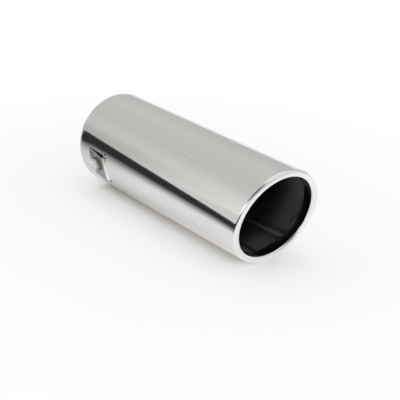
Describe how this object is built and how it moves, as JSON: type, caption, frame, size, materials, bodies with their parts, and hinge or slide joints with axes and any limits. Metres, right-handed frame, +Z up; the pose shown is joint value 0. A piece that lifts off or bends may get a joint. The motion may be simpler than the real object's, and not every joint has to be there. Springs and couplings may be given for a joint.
{
  "type": "exhaust tip",
  "caption": "Bolt-on round exhaust tip: polished sheet tube with a slanted rolled-in mouth and raised screw seats near the inlet that clamp it on a tailpipe.",
  "frame": {"origin": "centre of the inlet opening, on the tube's axis and in its square-cut end plane", "axes": "+X along the tube's axis from the inlet to the mouth; +Z up as the tip lies; the seat that the picture shows faces -Y"},
  "size_m": [0.2295, 0.084, 0.076],
  "materials": {
    "polished_steel": "mirror-polished stainless sheet outside and on the rolled lip, dark satin inside",
    "plated_screw": "pale yellow zinc plating",
    "nut_steel": "bare steel, dulled by the weld"
  },
  "bodies": {
    "root": {"tip_tube": "polished_steel", "left_clamp_screw": "plated_screw", "right_clamp_screw": "plated_screw", "left_weld_nut": "nut_steel", "right_weld_nut": "nut_steel"}
  },
  "joints": []
}
